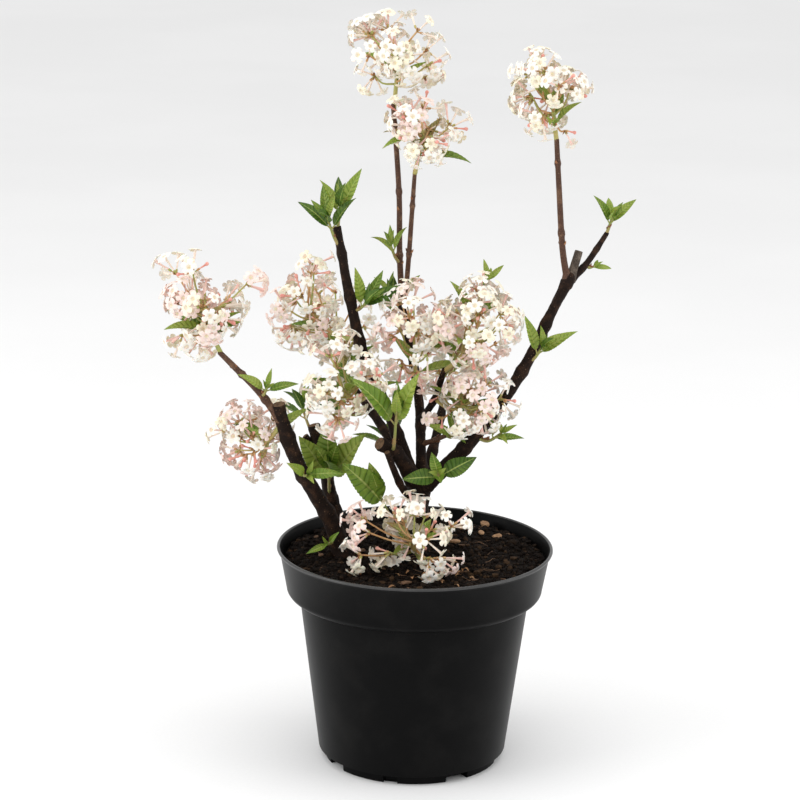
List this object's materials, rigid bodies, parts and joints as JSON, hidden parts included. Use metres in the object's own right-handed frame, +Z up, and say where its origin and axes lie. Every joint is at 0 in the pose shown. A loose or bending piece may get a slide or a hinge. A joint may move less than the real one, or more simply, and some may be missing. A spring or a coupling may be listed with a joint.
{
  "type": "potted viburnum shrub",
  "caption": "Winter-flowering viburnum in bloom, with pruned woody stems, trumpet-flower clusters and leaf sprays, standing in a round plastic nursery pot of compost.",
  "frame": {"origin": "middle of the pot's flat underside, on the surface that the pot stands on", "axes": "+Z up along the pot's axis; the pictured front of the plant faces -Y and its right side is +X"},
  "size_m": [0.3324, 0.2083, 0.5124],
  "materials": {
    "black_plastic": "matte moulded black plastic with a faint bloom",
    "compost": "damp dark peat compost with crumbs and bark chips",
    "bark": "dark brown rough bark with pale lenticels",
    "shoot_bark": "smooth red-brown young bark",
    "blossom": "white petals flushed pink, on olive and rust stalks",
    "foliage": "ribbed fresh green leaves"
  },
  "bodies": {
    "root": {"pot": "black_plastic", "compost": "compost", "trunk": "bark", "left_stem": "bark", "rear_left_stem": "bark", "right_bough": "bark", "upper_left_bough": "bark", "centre_bough": "bark", "back_left_bough": "bark", "back_right_bough": "bark", "pruned_branch": "bark", "thin_front_branch": "bark", "rear_left_stub": "bark", "left_shoot": "shoot_bark", "centre_twig": "shoot_bark", "blossom_branch": "bark", "centre_left_shoot": "shoot_bark", "centre_right_shoot": "shoot_bark", "right_top_shoot": "shoot_bark", "right_grey_stub": "bark", "right_spur": "bark", "blossom_top_left": "blossom", "blossom_top": "blossom", "blossom_below_top": "blossom", "blossom_top_right": "blossom", "blossom_upper_left": "blossom", "blossom_low_left": "blossom", "blossom_middle_left": "blossom", "blossom_right_high": "blossom", "blossom_middle": "blossom", "blossom_right_low": "blossom", "blossom_foot": "blossom", "blossom_back_left": "blossom", "blossom_back_right": "blossom", "spray_upper_left_outer": "foliage", "spray_upper_left_tip": "foliage", "spray_right_tip": "foliage", "spray_right_fork": "foliage", "spray_right_bough_high": "foliage", "spray_right_bough_low": "foliage", "spray_centre": "foliage", "spray_right_foot": "foliage", "spray_above_right": "foliage", "spray_beside_upper_left": "foliage", "spray_long_pair": "foliage", "spray_left_foot": "foliage", "spray_broad_leaf": "foliage", "spray_left_shoot": "foliage", "spray_centre_shoot": "foliage", "spray_left_stem": "foliage", "spray_foot_left": "foliage", "spray_back_low": "foliage", "spray_back_right": "foliage", "spray_back_left": "foliage", "spray_back_high": "foliage", "spray_rear_stem": "foliage"}
  },
  "joints": []
}
